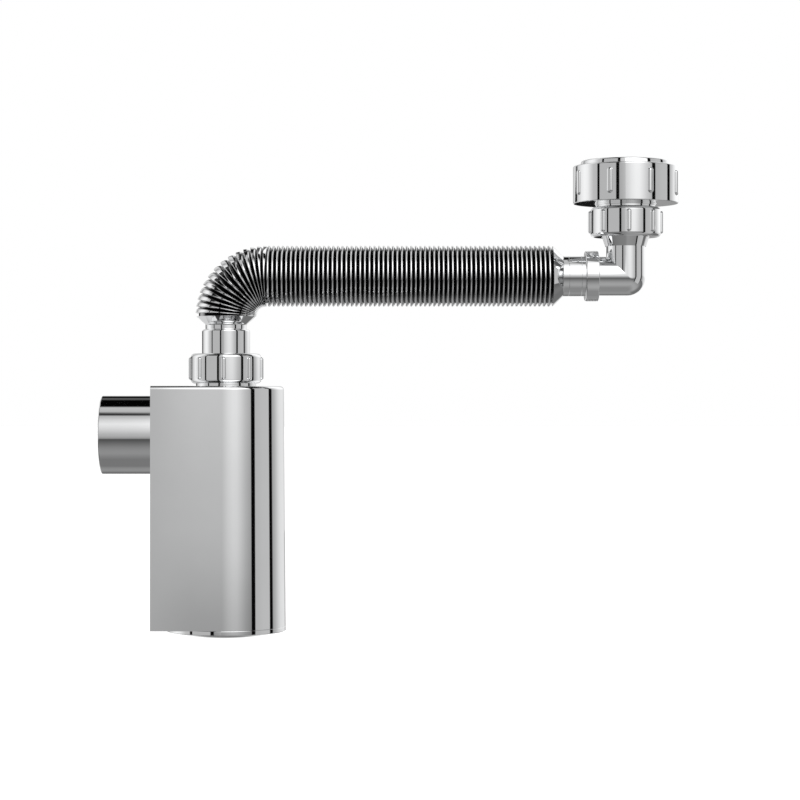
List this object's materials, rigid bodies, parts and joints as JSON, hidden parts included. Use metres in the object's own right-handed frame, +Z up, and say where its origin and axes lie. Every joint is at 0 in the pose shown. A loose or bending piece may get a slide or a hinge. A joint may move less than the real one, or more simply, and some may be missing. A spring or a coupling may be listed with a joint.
{
  "type": "bottle trap",
  "caption": "Chrome bottle trap with a flat back, wall spigot, screwed cleaning cap, ribbed union nuts and a concertina hose that bends up to a swivel elbow and a waste nut.",
  "frame": {"origin": "where the wall spigot's axis crosses the housing's flat back, which is the wall face", "axes": "+X leaves the wall, +Z is up; the spigot points along -X and the waste nut opens along +Z"},
  "size_m": [0.3685, 0.0762, 0.3048],
  "materials": {
    "chrome_shell": "polished chrome plating",
    "chrome_pipe": "polished chrome plating",
    "chrome_nut": "polished chrome plating",
    "chrome_bellows": "chrome plating on flexible plastic",
    "pale_plastic": "moulded",
    "black_rubber": "soft"
  },
  "bodies": {
    "wall_pipe": {"outlet_pipe": "chrome_pipe"},
    "trap": {"trap_housing": "chrome_shell", "outlet_seal": "black_rubber", "dip_tube": "pale_plastic", "dip_tube_gasket": "black_rubber"},
    "cap_thread": {"cap_o_ring": "black_rubber"},
    "cap": {"cleaning_cap": "chrome_shell"},
    "inlet_thread": {"inlet_slip_ring": "pale_plastic"},
    "inlet_union": {"inlet_nut": "chrome_nut"},
    "hose_foot": {"lower_hose_tail": "chrome_pipe", "inlet_seal": "black_rubber"},
    "hose_run": {"bellows_hose": "chrome_bellows"},
    "hose_head": {"upper_hose_tail": "chrome_pipe", "retaining_collar": "chrome_pipe"},
    "elbow_body": {"elbow": "chrome_pipe", "elbow_o_rings": "black_rubber", "elbow_seal": "black_rubber"},
    "elbow_thread": {"elbow_slip_ring": "pale_plastic"},
    "elbow_union": {"elbow_nut": "chrome_nut"},
    "adapter_body": {"adapter": "chrome_pipe", "waste_gasket": "black_rubber"},
    "waste_union": {"waste_nut": "chrome_nut"}
  },
  "joints": [
    {"name": "housing_slide", "type": "slide", "parent": "wall_pipe", "child": "trap", "axis": [1, 0, 0], "range_m": [0, 0.012]},
    {"name": "cap_lift", "type": "slide", "parent": "trap", "child": "cap_thread", "axis": [0, 0, -1], "range_m": [0, 0.012]},
    {"name": "cap_turn", "type": "hinge", "parent": "cap_thread", "child": "cap", "pos_m": [0.0448, 0, -0.122], "axis": [0, 0, -1], "range_deg": [0, 1080]},
    {"name": "inlet_nut_lift", "type": "slide", "parent": "trap", "child": "inlet_thread", "axis": [0, 0, 1], "range_m": [0, 0.00924]},
    {"name": "inlet_nut_turn", "type": "hinge", "parent": "inlet_thread", "child": "inlet_union", "pos_m": [0.0448, 0, 0.04], "axis": [0, 0, 1], "range_deg": [0, 1440]},
    {"name": "hose_swivel", "type": "hinge", "parent": "trap", "child": "hose_foot", "pos_m": [0.0448, 0, 0.06], "axis": [0, 0, 1], "range_deg": [-90, 90]},
    {"name": "hose_tilt", "type": "hinge", "parent": "hose_foot", "child": "hose_run", "pos_m": [0.0535, 0, 0.093], "axis": [0, -1, 0], "range_deg": [-10, 45], "deforming": ["bellows_hose"]},
    {"name": "hose_stretch", "type": "slide", "parent": "hose_run", "child": "hose_head", "axis": [1, 0, 0], "range_m": [0, 0.09], "deforming": ["bellows_hose"]},
    {"name": "elbow_swivel", "type": "hinge", "parent": "hose_head", "child": "elbow_body", "pos_m": [0.279, 0, 0.1016], "axis": [1, 0, 0], "continuous": true},
    {"name": "elbow_nut_lift", "type": "slide", "parent": "elbow_body", "child": "elbow_thread", "axis": [0, 0, -1], "range_m": [0, 0.00809]},
    {"name": "elbow_nut_turn", "type": "hinge", "parent": "elbow_thread", "child": "elbow_union", "pos_m": [0.3005, 0, 0.135], "axis": [0, 0, -1], "range_deg": [0, 1260]},
    {"name": "adapter_swivel", "type": "hinge", "parent": "elbow_body", "child": "adapter_body", "pos_m": [0.3005, 0, 0.145], "axis": [0, 0, 1], "continuous": true},
    {"name": "waste_nut_turn", "type": "hinge", "parent": "adapter_body", "child": "waste_union", "pos_m": [0.3005, 0, 0.16], "axis": [0, 0, 1], "continuous": true}
  ],
  "couplings": [
    {"joint": "cap_lift", "follows": "cap_turn", "m_per_rad": 0.0006366},
    {"joint": "inlet_nut_lift", "follows": "inlet_nut_turn", "m_per_rad": 0.0003674},
    {"joint": "elbow_nut_lift", "follows": "elbow_nut_turn", "m_per_rad": 0.0003674}
  ]
}
